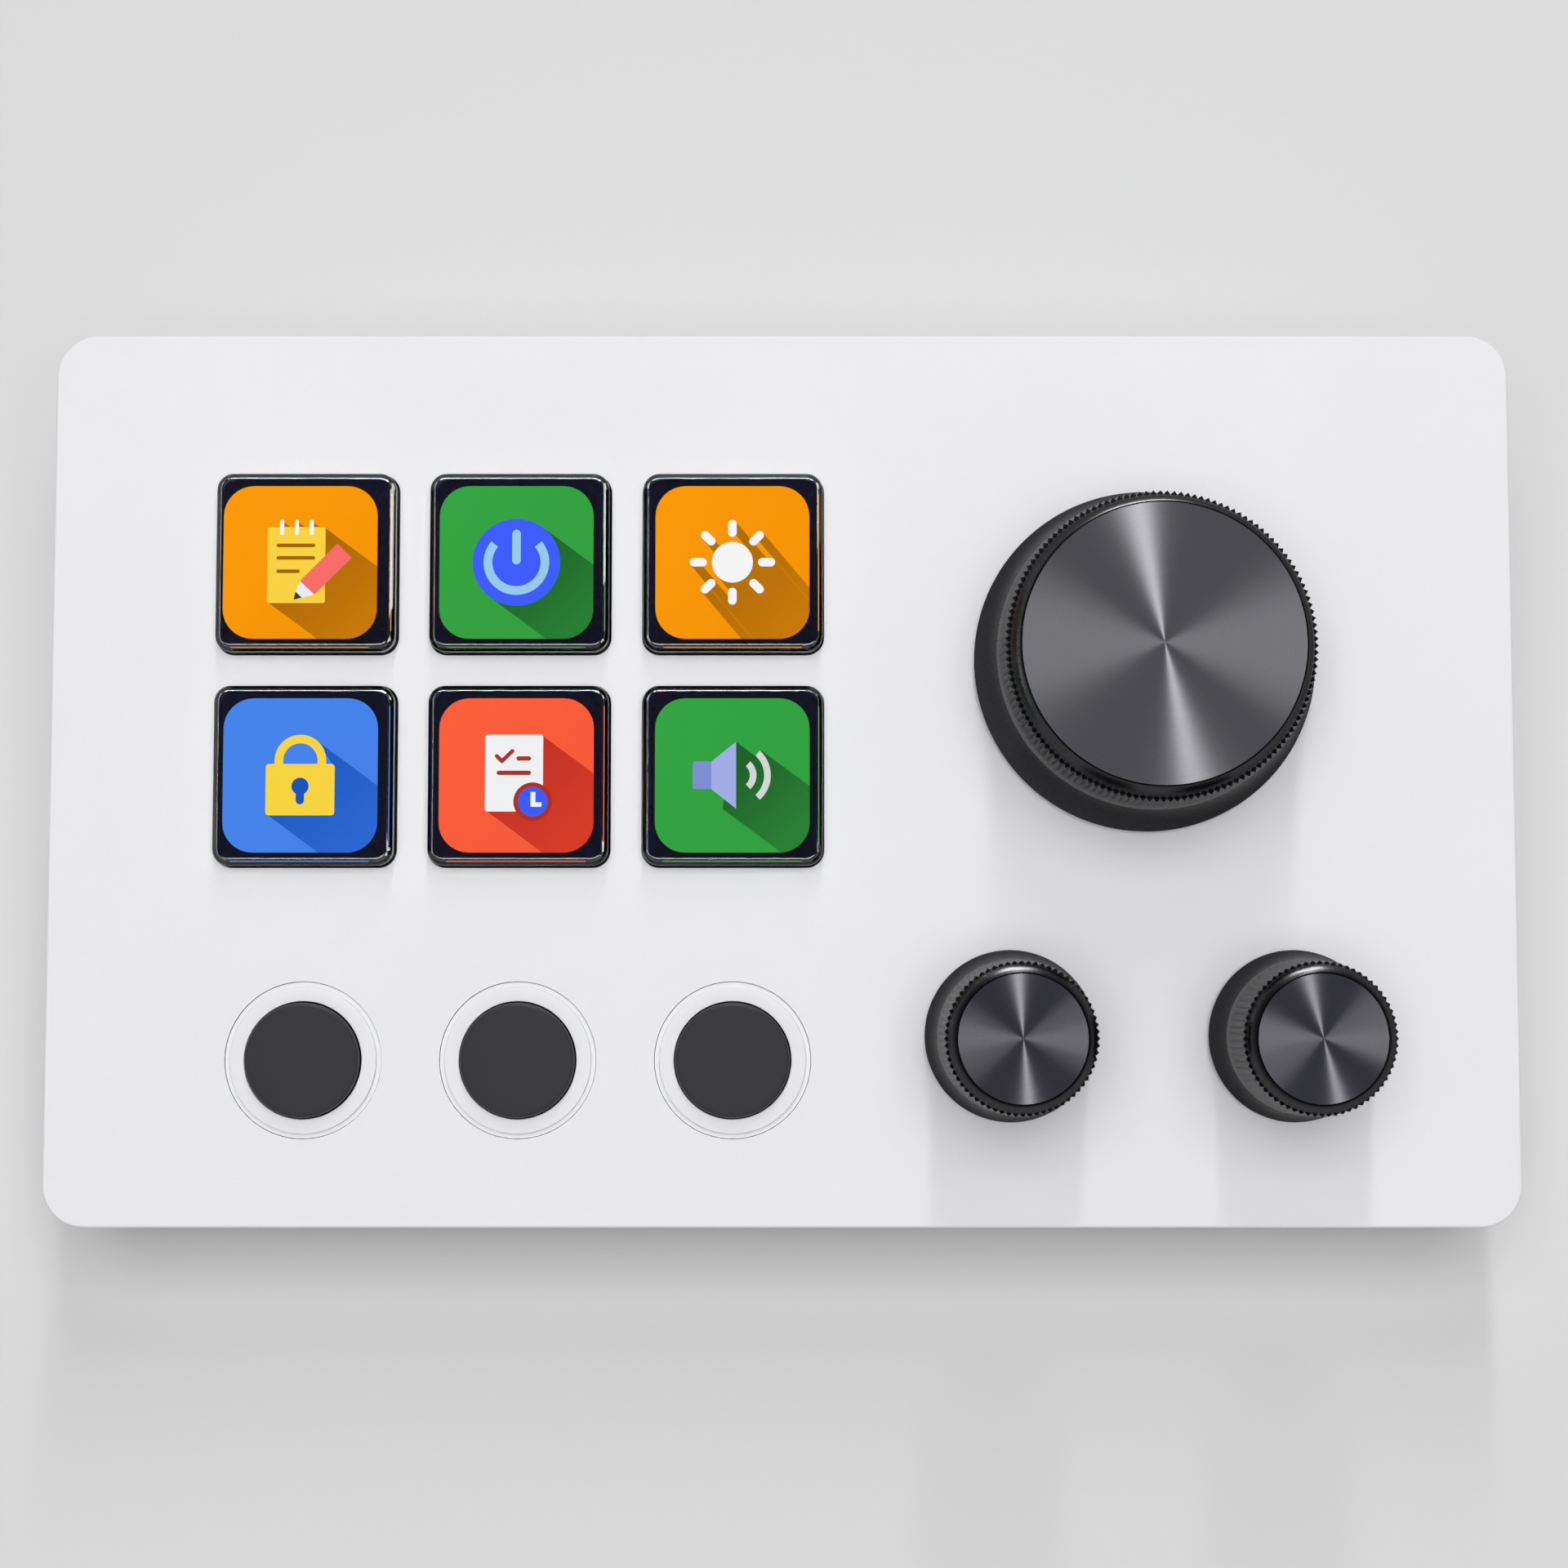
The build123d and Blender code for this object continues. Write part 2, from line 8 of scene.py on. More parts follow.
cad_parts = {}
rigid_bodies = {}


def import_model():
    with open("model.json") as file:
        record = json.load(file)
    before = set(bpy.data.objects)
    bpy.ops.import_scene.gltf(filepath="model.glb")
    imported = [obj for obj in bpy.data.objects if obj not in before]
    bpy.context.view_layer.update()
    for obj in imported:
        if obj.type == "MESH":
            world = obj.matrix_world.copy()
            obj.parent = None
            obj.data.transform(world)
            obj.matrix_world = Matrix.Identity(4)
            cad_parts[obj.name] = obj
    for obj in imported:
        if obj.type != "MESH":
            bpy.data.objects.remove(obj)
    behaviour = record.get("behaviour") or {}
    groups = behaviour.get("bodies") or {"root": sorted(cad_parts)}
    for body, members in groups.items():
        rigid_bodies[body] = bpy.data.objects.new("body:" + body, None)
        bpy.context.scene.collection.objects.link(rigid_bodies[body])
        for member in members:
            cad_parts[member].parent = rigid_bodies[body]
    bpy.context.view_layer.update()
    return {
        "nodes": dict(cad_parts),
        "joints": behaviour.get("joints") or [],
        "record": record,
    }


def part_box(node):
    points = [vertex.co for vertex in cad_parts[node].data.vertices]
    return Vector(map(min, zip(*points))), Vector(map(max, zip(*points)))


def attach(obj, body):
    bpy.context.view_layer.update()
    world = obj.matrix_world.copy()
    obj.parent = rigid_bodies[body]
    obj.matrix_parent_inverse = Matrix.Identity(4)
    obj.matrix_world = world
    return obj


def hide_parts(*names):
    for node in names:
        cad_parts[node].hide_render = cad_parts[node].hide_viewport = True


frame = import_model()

joints = {joint["name"]: joint for joint in frame["joints"]}
mm = 0.001


def centreOf(node):
    low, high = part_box(node)
    return (low + high) / 2


# The deck is the tilted top plate: x right, y to the rear, z out of the plate, with 0 at its upper face.
turn = joints["large_knob_turn"]
deckUp = Vector(turn["axis"])
deckTilt = math.atan2(-deckUp.y, deckUp.z)
boardCentre = centreOf("main_board")
deckOrigin = boardCentre + deckUp * (Vector(turn["pos_m"]) - boardCentre).dot(deckUp)
deck = Matrix.Translation(deckOrigin) @ Matrix.Rotation(deckTilt, 4, "X")


def inDeck(point):  # a point of the model's frame, in deck millimetres
    return deck.inverted() @ Vector(point) / mm


def onDeck(x, y, z=0.0):  # a point given in deck millimetres, in the model's frame
    return deck @ (Vector((x, y, z)) * mm)


def layOnDeck(mesh, centre):  # moves a mesh from deck millimetres round a centre to the model's frame
    lay = deck @ Matrix.Scale(mm, 4) @ Matrix.Translation((centre[0], centre[1], 0))
    bmesh.ops.transform(mesh, matrix=lay, verts=mesh.verts)


keyCentres = [inDeck(centreOf(f"key_display_{number}")) for number in range(1, 7)]
buttonCentres = [inDeck(centreOf(f"button_switch_{number}")) for number in range(1, 4)]
knobCentres = {name: inDeck(joints[f"{name}_knob_turn"]["pos_m"]) for name in ("large", "left", "right")}


def linear(colour):  # an 8-bit display colour as the shader's linear one
    def channel(value):
        value /= 255
        return value / 12.92 if value <= 0.04045 else ((value + 0.055) / 1.055) ** 2.4

    return tuple(channel(part) for part in colour)


class Wire:  # a socket that can stand in a sum
    def __init__(self, tree, socket):
        self.tree = tree
        self.socket = socket

    def maths(self, operation, *values):
        return self.tree.node("ShaderNodeMath", {"operation": operation}, dict(enumerate(values)))

    def __add__(self, other):
        return self.maths("ADD", self, other)

    def __radd__(self, other):
        return self.maths("ADD", other, self)

    def __sub__(self, other):
        return self.maths("SUBTRACT", self, other)

    def __rsub__(self, other):
        return self.maths("SUBTRACT", other, self)

    def __mul__(self, other):
        return self.maths("MULTIPLY", self, other)

    def __rmul__(self, other):
        return self.maths("MULTIPLY", other, self)

    def __truediv__(self, other):
        return self.maths("DIVIDE", self, other)

    def __rtruediv__(self, other):
        return self.maths("DIVIDE", other, self)

    def __pow__(self, other):
        return self.maths("POWER", self, other)

    def __rpow__(self, other):
        return self.maths("POWER", other, self)

    def clamp(self):
        return self.maths("MAXIMUM", self.maths("MINIMUM", self, 1.0), 0.0)

    def wave(self):
        return self.maths("SINE", self)

    def swing(self, spread):  # a noise as a change to both sides of nothing
        return spread * (self - 0.5)


class Tree:  # the nodes of a material or of the world
    def __init__(self, nodeTree):
        self.nodeTree = nodeTree

    def node(self, kind, settings=None, inputs=None, output=0):
        made = self.nodeTree.nodes.new(kind)
        for key, value in (settings or {}).items():
            if key == "stops":
                self.setStops(made.color_ramp, value)
            else:
                setattr(made, key, value)
        for key, value in (inputs or {}).items():
            self.feed(made.inputs[key], value)
        return Wire(self, made.outputs[output])

    def setStops(self, ramp, stops):
        while len(ramp.elements) < len(stops):
            ramp.elements.new(1.0)
        for element, (position, colour) in zip(ramp.elements, stops):
            element.position = position
            element.color = (*colour, 1.0)

    def feed(self, socket, value):
        if isinstance(value, Wire):
            self.nodeTree.links.new(value.socket, socket)
        elif isinstance(value, tuple) and socket.type == "RGBA":
            socket.default_value = (*value, 1.0)
        else:
            socket.default_value = value

    def feedNode(self, name, socket, value):  # a node that the tree has from the start
        self.feed(self.nodeTree.nodes[name].inputs[socket], value)

    def ray(self, kind):
        return self.node("ShaderNodeLightPath", output=f"Is {kind} Ray")

    def noise(self, where, scale, detail=2.0, rough=0.5):
        return self.node("ShaderNodeTexNoise", None,
                         {"Vector": where, "Scale": scale, "Detail": detail, "Roughness": rough})

    def stretch(self, vector, factors):
        return self.node("ShaderNodeVectorMath", {"operation": "MULTIPLY"}, {0: vector, 1: factors})

    def split(self, vector):
        separate = self.node("ShaderNodeSeparateXYZ", None, {0: vector})
        return [Wire(self, output) for output in separate.socket.node.outputs]

    def along(self, value):  # a number as a place on a line
        return self.node("ShaderNodeCombineXYZ", None, {"X": value})

    def mix(self, share, first, second):  # the colours are a Mix node's inputs 6 and 7 and its output 2
        return self.node("ShaderNodeMix", {"data_type": "RGBA"}, {0: share, 6: first, 7: second}, 2)


class Paint(Tree):  # a material round one Principled shader, with _ for the spaces in its sockets' names
    def __init__(self, name, **constants):
        self.material = bpy.data.materials.new(name)
        self.material.use_nodes = True
        super().__init__(self.material.node_tree)
        self.shader = self.nodeTree.nodes["Principled BSDF"]
        self.set(**constants)

    def set(self, **values):
        for key, value in values.items():
            self.feed(self.shader.inputs[key.replace("_", " ")], value)
        return self.material

    def place(self, centre=(0, 0, 0)):  # object coordinates, in deck millimetres from a deck point
        coordinates = self.node("ShaderNodeTexCoord", output="Object")
        return self.node("ShaderNodeMapping", {"vector_type": "TEXTURE"},
                         {"Vector": coordinates, "Location": onDeck(*centre), "Rotation": (deckTilt, 0, 0),
                          "Scale": (mm, mm, mm)})

    def bump(self, height, distance):  # the distance is in millimetres
        return self.node("ShaderNodeBump", None,
                         {"Height": height, "Distance": distance * mm, "Strength": 1.0})


print("deck and helpers ready")

# In each finish the scales are per millimetre and the depths in millimetres.
shellFinish = {
    "white": (0.80, 0.80, 0.815), "shade": (0.765, 0.765, 0.785), "roughness": 0.42, "ior": 1.5,
    "clouds": 0.05, "cloudSpread": 0.05, "grain": 6.0, "grainSpread": 0.12, "grainDepth": 0.012,
}


def makeShellWhite():  # moulded white plastic with a fine spark-eroded grain
    paint = Paint("shellWhite", IOR=shellFinish["ior"])
    where = paint.place()
    clouds = paint.noise(where, shellFinish["clouds"], 3.0)
    grain = paint.noise(where, shellFinish["grain"], 3.0, 0.6)
    rough = (shellFinish["roughness"] + grain.swing(shellFinish["grainSpread"])
             + clouds.swing(shellFinish["cloudSpread"]))
    return paint.set(Base_Color=paint.mix(clouds, shellFinish["shade"], shellFinish["white"]),
                     Roughness=rough, Normal=paint.bump(grain, shellFinish["grainDepth"]))


clearFinish = {
    "tint": (0.965, 0.97, 1.0), "clear": (1.0, 1.0, 1.0), "roughness": 0.02, "wear": 0.02, "ior": 1.49,
    "wipes": (0.35, 0.08, 0.35), "wipeFrom": 0.52, "wipeGain": 6.0,
}


def makeClearCap():  # polished clear plastic, with the faintest wipe marks
    paint = Paint("clearCap", IOR=clearFinish["ior"], Transmission_Weight=1.0)
    wipes = paint.noise(paint.stretch(paint.place(), clearFinish["wipes"]), 1.0, 4.0)
    smears = ((wipes - clearFinish["wipeFrom"]) * clearFinish["wipeGain"]).clamp()
    return paint.set(Base_Color=paint.mix(wipes, clearFinish["tint"], clearFinish["clear"]),
                     Roughness=clearFinish["roughness"] + clearFinish["wear"] * smears)


screenFinish = {
    "dark": (0.006, 0.006, 0.022), "edge": (0.011, 0.011, 0.034), "roughness": 0.10, "ior": 1.5,
    "cells": 2.2, "cellSpread": 0.06,
}


def makeDisplayGlass():  # the dark glass round a lit picture
    paint = Paint("displayGlass", IOR=screenFinish["ior"])
    cells = paint.noise(paint.place(), screenFinish["cells"])
    return paint.set(Base_Color=paint.mix(cells, screenFinish["dark"], screenFinish["edge"]),
                     Roughness=screenFinish["roughness"] + screenFinish["cellSpread"] * cells)


mouldedFinishes = {  # dark colour, light colour, roughness, grain and grain depth
    "frameBlack": ((0.006, 0.006, 0.018), (0.012, 0.012, 0.030), 0.42, 5.0, 0.010),
    "buttonBlack": ((0.024, 0.023, 0.026), (0.034, 0.033, 0.037), 0.46, 6.0, 0.012),
    "knobBlack": ((0.050, 0.050, 0.052), (0.064, 0.064, 0.066), 0.27, 5.0, 0.003),
    "gripBlack": ((0.085, 0.085, 0.087), (0.105, 0.105, 0.107), 0.40, 5.0, 0.003),
    "switchBlack": ((0.012, 0.012, 0.012), (0.024, 0.024, 0.024), 0.50, 5.0, 0.010),
    "rotorWhite": ((0.60, 0.60, 0.55), (0.70, 0.70, 0.66), 0.45, 5.0, 0.010),
    "chipBlack": ((0.010, 0.010, 0.010), (0.020, 0.020, 0.020), 0.55, 8.0, 0.010),
    "footRubber": ((0.018, 0.018, 0.018), (0.035, 0.035, 0.035), 0.75, 4.0, 0.020),
}
mouldedShared = {"grainSpread": 0.14, "clouds": 0.12, "cloudSpread": 0.06}


def makeMoulded(name, **constants):
    dark, light, roughness, grain, depth = mouldedFinishes[name]
    paint = Paint(name, **constants)
    where = paint.place()
    speckle = paint.noise(where, grain, 3.0, 0.6)
    clouds = paint.noise(where, mouldedShared["clouds"])
    rough = (roughness + speckle.swing(mouldedShared["grainSpread"])
             + clouds.swing(mouldedShared["cloudSpread"]))
    return paint.set(Base_Color=paint.mix(0.5 * speckle + 0.5 * clouds, dark, light), Roughness=rough,
                     Normal=paint.bump(speckle, depth))


discFinish = {  # pull and turn: how far the gloss is drawn out, and which way
    "dark": (0.36, 0.36, 0.39), "light": (0.52, 0.52, 0.545), "roughness": 0.35, "roughSpread": 0.16,
    "pull": 1.0, "turn": 0.25, "rings": 5.0, "ringShare": 0.45, "ringDepth": 0.006, "broadRings": 0.9,
    "broadShare": 0.2, "specks": 9.0, "speckSpread": 1.1, "level": 0.175,
}


def makeSpunDisc(name, centre):  # dark metal turned on a lathe: fine rings round the disc's own centre
    paint = Paint(name, Metallic=1.0, Anisotropic=discFinish["pull"],
                  Anisotropic_Rotation=discFinish["turn"])
    where = paint.place(centre)
    x, y, _ = paint.split(where)
    radius = paint.along((x * x + y * y) ** 0.5)
    rings = paint.noise(radius, discFinish["rings"], 4.0, 0.7)
    broad = paint.noise(radius, discFinish["broadRings"], 1.0)
    specks = paint.noise(where, discFinish["specks"], 2.0, 0.7)
    share = (discFinish["ringShare"] * rings + discFinish["broadShare"] * broad
             + specks.swing(discFinish["speckSpread"]) + discFinish["level"]).clamp()
    return paint.set(Base_Color=paint.mix(share, discFinish["dark"], discFinish["light"]),
                     Roughness=discFinish["roughness"] + rings.swing(discFinish["roughSpread"]),
                     Normal=paint.bump(rings, discFinish["ringDepth"]))


brushedFinish = {"strokes": (0.6, 6.0, 6.0), "dull": 0.75, "roughSpread": 0.2, "depth": 0.006}


def makeBrushedMetal(name, colour, roughness):
    paint = Paint(name, Metallic=1.0)
    strokes = paint.noise(paint.stretch(paint.place(), brushedFinish["strokes"]), 1.0, 4.0, 0.6)
    dull = tuple(brushedFinish["dull"] * part for part in colour)
    return paint.set(Base_Color=paint.mix(strokes, dull, colour),
                     Roughness=roughness + strokes.swing(brushedFinish["roughSpread"]),
                     Normal=paint.bump(strokes, brushedFinish["depth"]))


boardFinish = {
    "mask": (0.006, 0.055, 0.022), "track": (0.02, 0.13, 0.06), "roughness": 0.28, "roughSpread": 0.1,
    "ior": 1.5, "tracks": 3.2, "bend": 0.4, "bends": 0.5, "trackEdge": 4.0, "trackShare": 0.5,
    "trackDepth": 0.03, "specks": 3.0, "speckShare": 0.3,
}


def makeBoardMask():  # solder mask over faint copper tracks
    paint = Paint("boardMask", IOR=boardFinish["ior"])
    where = paint.place()
    x, y, _ = paint.split(where)
    bend = boardFinish["bend"] * (y * boardFinish["bends"]).wave()
    tracks = ((boardFinish["tracks"] * (x + bend)).wave() * boardFinish["trackEdge"]).clamp()
    specks = paint.noise(where, boardFinish["specks"])
    share = boardFinish["trackShare"] * tracks + boardFinish["speckShare"] * specks
    return paint.set(Base_Color=paint.mix(share, boardFinish["mask"], boardFinish["track"]),
                     Roughness=boardFinish["roughness"] + boardFinish["roughSpread"] * specks,
                     Normal=paint.bump(tracks, boardFinish["trackDepth"]))


shellWhite = makeShellWhite()
clearCap = makeClearCap()
buttonBlack = makeMoulded("buttonBlack")
knobBlack = makeMoulded("knobBlack", Metallic=1.0, Specular_Tint=(0.42, 0.42, 0.42))
gripBlack = makeMoulded("gripBlack", Metallic=1.0, Specular_Tint=(0.8, 0.8, 0.8))
encoderMetal = makeBrushedMetal("encoderMetal", (0.60, 0.60, 0.60), 0.32)
finishes = {  # by the record's material slots
    "white_shell": shellWhite, "clear_cap": clearCap, "display_glass": makeDisplayGlass(),
    "frame_black": makeMoulded("frameBlack"), "button_black": buttonBlack, "knob_black": knobBlack,
    "spun_disc": encoderMetal, "encoder_metal": encoderMetal, "rotor_white": makeMoulded("rotorWhite"),
    "switch_black": makeMoulded("switchBlack"), "board_mask": makeBoardMask(),
    "chip_black": makeMoulded("chipBlack"), "foot_rubber": makeMoulded("footRubber"),
    "socket_steel": makeBrushedMetal("socketSteel", (0.62, 0.62, 0.63), 0.28),
    "screw_steel": makeBrushedMetal("screwSteel", (0.55, 0.55, 0.56), 0.30),
}
for part in frame["record"]["subparts"]:
    data = frame["nodes"][part["node"]].data
    data.materials.clear()
    data.materials.append(finishes[part["material_slot"]])
print("finishes made")

hair = 1e-4  # points nearer than this are one, in millimetres


def linkObject(name, data):
    made = bpy.data.objects.new(name, data)
    bpy.context.scene.collection.objects.link(made)
    return made


def freeInto(mesh, name):  # a bmesh as mesh data
    data = bpy.data.meshes.new(name)
    mesh.to_mesh(data)
    mesh.free()
    return data


def dress(name, mesh, materials, body, replaced, sharp, flatFirst):
    for face in mesh.faces:
        face.smooth = True
    for edge in mesh.edges:  # smooth only over shallow angles
        edge.smooth = edge.calc_face_angle(math.pi) < math.radians(sharp)
    data = freeInto(mesh, name)
    for material in materials:
        data.materials.append(material)
    piece = linkObject(name, data)
    if flatFirst:  # wide flat faces keep their own normals
        piece.modifiers.new("flatFaces", "WEIGHTED_NORMAL").keep_sharp = True
    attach(piece, body)
    if replaced:
        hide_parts(replaced)


def settle(name, mesh, centre, materials, body, replaced, sharp, flatFirst=True):
    bmesh.ops.remove_doubles(mesh, verts=mesh.verts, dist=hair)
    bmesh.ops.recalc_face_normals(mesh, faces=mesh.faces)
    layOnDeck(mesh, centre)
    dress(name, mesh, materials, body, replaced, sharp, flatFirst)


def softCopy(node, body, slotName):  # a CAD node's own shape, merged so that its round parts shade smoothly
    mesh = bmesh.new()
    mesh.from_mesh(frame["nodes"][node].data)
    bmesh.ops.remove_doubles(mesh, verts=mesh.verts, dist=hair * mm)
    bmesh.ops.dissolve_limit(mesh, angle_limit=math.radians(0.4), verts=mesh.verts, edges=mesh.edges)
    dress(node + "_dressed", mesh, [finishes[slotName]], body, node, sharp=25, flatFirst=True)


for node in ("top_plate", "lower_housing"):
    softCopy(node, "housing", "white_shell")
print("case dressed")


def turned(profile, steps):  # a profile of (radius, height) points spun round the upright axis
    mesh = bmesh.new()
    points = [mesh.verts.new((radius, 0, height)) for radius, height in profile]
    lines = [mesh.edges.new(pair) for pair in zip(points, points[1:])]
    bmesh.ops.spin(mesh, geom=points + lines, cent=(0, 0, 0), axis=(0, 0, 1), dvec=(0, 0, 0),
                   angle=2 * math.pi, steps=steps, use_merge=True)
    bmesh.ops.remove_doubles(mesh, verts=mesh.verts, dist=hair)
    return mesh


def ringEdges(mesh, radius, height, near=0.004):  # the round edge that stands at a radius and height
    def at(vert):
        return abs(math.hypot(vert.co.x, vert.co.y) - radius) < near and abs(vert.co.z - height) < near

    def level(edge):
        return abs(edge.verts[0].co.z - edge.verts[1].co.z) < near / 2

    return [edge for edge in mesh.edges if level(edge) and all(at(vert) for vert in edge.verts)]


def roundOff(mesh, edges, offset, segments):
    bmesh.ops.bevel(mesh, geom=edges, offset=offset, offset_type="OFFSET", segments=segments, profile=0.5,
                    affect="EDGES", material=-1, clamp_overlap=True)


largeKnob = {
    "top": 14.8, "base": 15.58, "neck": 13.98, "neckHeight": 7.3, "gripLow": 13.98, "gripTop": 13.68,
    "gripHeight": 12.8, "ring": 13.36, "shoulder": 13.14, "line": 13.53, "disc": 12.33, "teeth": 140,
    "rows": 10, "toothDepth": 0.34, "hub": 5.23, "wall": 1.5,
}
smallKnob = {
    "top": 15.0, "base": 7.76, "neck": 6.90, "neckHeight": 5.9, "gripLow": 6.90, "gripTop": 6.72,
    "gripHeight": 13.62, "ring": 6.49, "shoulder": 6.38, "line": 14.22, "disc": 5.58, "teeth": 68,
    "rows": 14, "toothDepth": 0.25, "hub": 4.03, "wall": 1.1,
}
knobCut = {  # what the three knobs share
    "clearance": 0.8, "discDepth": 0.5, "discEdge": 0.008, "discSteps": 192, "seatFit": 0.006,
    "land": 0.12, "landRound": 0.05, "lineWidth": 0.12, "lineDepth": 0.12, "ringBulge": 0.35,
    "ringSteps": 6, "runOut": 3.0, "roof": 2.0, "hubLow": 1.6, "flare": 0.65, "skirtRound": 0.3,
    "skirtSteps": 10, "footRound": 0.12,
}


def gripPoint(size, row):  # radius and height of one row of tooth tips
    share = row / size["rows"]
    return (size["gripTop"] + share * (size["gripLow"] - size["gripTop"]),
            size["gripHeight"] - share * (size["gripHeight"] - size["neckHeight"]))


def knobProfile(size):
    seatRadius = size["disc"] + knobCut["seatFit"]
    seatHeight = size["top"] - knobCut["discDepth"]
    rim = seatRadius + knobCut["land"]
    line, shoulder = size["line"], size["shoulder"]
    slopeLow = line + knobCut["lineWidth"]
    profile = [(0, seatHeight), (seatRadius, seatHeight), (seatRadius, size["top"]), (rim, size["top"])]
    full = knobCut["ringBulge"]
    for step in range(1, knobCut["ringSteps"]):  # the ring's chamfer is a little full
        share = step / knobCut["ringSteps"]
        out = (1 - full) * share + full * math.sin(share * math.pi / 2)
        down = (1 - full) * share + full * (1 - math.cos(share * math.pi / 2))
        profile.append((rim + out * (shoulder - rim), size["top"] - down * (size["top"] - slopeLow)))
    profile += [(shoulder, slopeLow), (shoulder - knobCut["lineDepth"], line + knobCut["lineWidth"] / 2),
                (shoulder, line), (size["ring"], size["gripHeight"])]
    profile += [gripPoint(size, row) for row in range(size["rows"] + 1)]
    profile.append((size["neck"], size["neckHeight"]))
    low = knobCut["clearance"]
    foot = low + knobCut["skirtRound"]
    flare = knobCut["flare"]
    for step in range(1, knobCut["skirtSteps"] + 1):  # the skirt flares out towards its foot
        share = step / knobCut["skirtSteps"]
        spread = ((1 - flare) * share + flare * share ** 2) * (size["base"] - size["neck"])
        profile.append((size["neck"] + spread, size["neckHeight"] - share * (size["neckHeight"] - foot)))
    edge = size["base"] - knobCut["skirtRound"]
    throat = size["gripTop"] - size["toothDepth"] - size["wall"]
    roof, hubLow = seatHeight - knobCut["roof"], knobCut["hubLow"]
    return profile + [(edge, low), (edge - size["wall"], low), (throat, size["neckHeight"]), (throat, roof),
                      (size["hub"], roof), (size["hub"], hubLow), (0, hubLow)]


def makeKnob(name, size):
    steps = 2 * size["teeth"]
    mesh = turned(knobProfile(size), steps)
    near = 0.01
    rise = (size["gripHeight"] - size["neckHeight"]) / size["rows"]
    for vert in mesh.verts:  # every second upright line of the grip goes in, which leaves straight V teeth
        radius = math.hypot(vert.co.x, vert.co.y)
        row = round((size["gripHeight"] - vert.co.z) / rise)
        if 0 <= row <= size["rows"]:
            tip, height = gripPoint(size, row)
            step = round(math.atan2(vert.co.y, vert.co.x) / (2 * math.pi) * steps)
            if abs(radius - tip) < near and abs(vert.co.z - height) < near and step % 2:
                depth = size["toothDepth"] * min(1.0, (size["rows"] - row) / knobCut["runOut"])
                vert.co.xy *= (radius - depth) / radius
    for face in mesh.faces:
        middle = face.calc_center_median()
        inBand = size["neckHeight"] < middle.z < size["gripHeight"] + near
        if inBand and math.hypot(middle.x, middle.y) > size["ring"] - size["toothDepth"]:
            face.material_index = 1  # the grip's finish
    land = size["disc"] + knobCut["seatFit"] + knobCut["land"]
    roundOff(mesh, ringEdges(mesh, land, size["top"]), knobCut["landRound"], 2)
    foot = size["base"] - knobCut["skirtRound"]
    roundOff(mesh, ringEdges(mesh, foot, knobCut["clearance"]), knobCut["footRound"], 3)
    settle(f"knob_{name}_dressed", mesh, knobCentres[name], [knobBlack, gripBlack], f"knob_{name}",
           f"knob_body_{name}", sharp=30, flatFirst=False)


def makeDisc(name, size):
    radius, top, edge = size["disc"], size["top"], knobCut["discEdge"]
    low = top - knobCut["discDepth"]
    profile = [(0, top), (radius - edge, top), (radius, top - edge), (radius, low), (0, low)]
    material = makeSpunDisc(f"spunDisc_{name}", (*knobCentres[name].xy, top))
    settle(f"disc_{name}_dressed", turned(profile, knobCut["discSteps"]), knobCentres[name], [material],
           f"knob_{name}", f"knob_disc_{name}", sharp=30)


for name, size in (("large", largeKnob), ("left", smallKnob), ("right", smallKnob)):
    makeKnob(name, size)
    makeDisc(name, size)
print("knobs turned")

button = {
    "radius": 5.2, "top": 0.95, "round": 0.35, "flange": 6.1, "flangeTop": -2.9, "low": -3.7, "steps": 160,
}
surround = {
    "bore": 5.33, "boreRound": 0.08, "radius": 6.67, "top": 0.12, "round": 0.08, "groove": -0.2,
    "shoulder": 7.08, "under": -2.0, "flange": 8.08, "low": -2.8, "steps": 160,
}


def makeButton(number, centre):
    radius, top = button["radius"], button["top"]
    flange, flangeTop, low = button["flange"], button["flangeTop"], button["low"]
    mesh = turned([(0, top), (radius, top), (radius, flangeTop), (flange, flangeTop), (flange, low),
                   (0, low)], button["steps"])
    roundOff(mesh, ringEdges(mesh, radius, top), button["round"], 6)
    settle(f"button_{number}_dressed", mesh, centre, [buttonBlack], f"button_{number}",
           f"button_cap_{number}", sharp=40)


def makeSurround(number, centre):
    bore, wide, shoulder, flange = (surround[key] for key in ("bore", "radius", "shoulder", "flange"))
    top, groove, under, low = (surround[key] for key in ("top", "groove", "under", "low"))
    mesh = turned([(bore, top), (wide, top), (wide, groove), (shoulder, groove), (shoulder, under),
                   (flange, under), (flange, low), (bore, low), (bore, top)], surround["steps"])
    roundOff(mesh, ringEdges(mesh, wide, top), surround["round"], 4)
    roundOff(mesh, ringEdges(mesh, bore, top), surround["boreRound"], 3)
    settle(f"surround_{number}_dressed", mesh, centre, [shellWhite], "housing",
           f"button_surround_{number}", sharp=40)


for number, centre in enumerate(buttonCentres, start=1):
    makeButton(number, centre)
    makeSurround(number, centre)
print("buttons turned")

keyCap = {
    "width": 16.4, "corner": 1.5, "cornerSteps": 10, "top": 2.3, "chamfer": 0.60, "round": 0.16,
    "low": -2.1, "wall": 0.45, "roof": 1.62,
}


def newVerts(made):
    return [item for item in made["geom"] if isinstance(item, bmesh.types.BMVert)]


def flatFace(mesh, height):  # the face that lies at a height
    return [face for face in mesh.faces if all(abs(vert.co.z - height) < hair for vert in face.verts)]


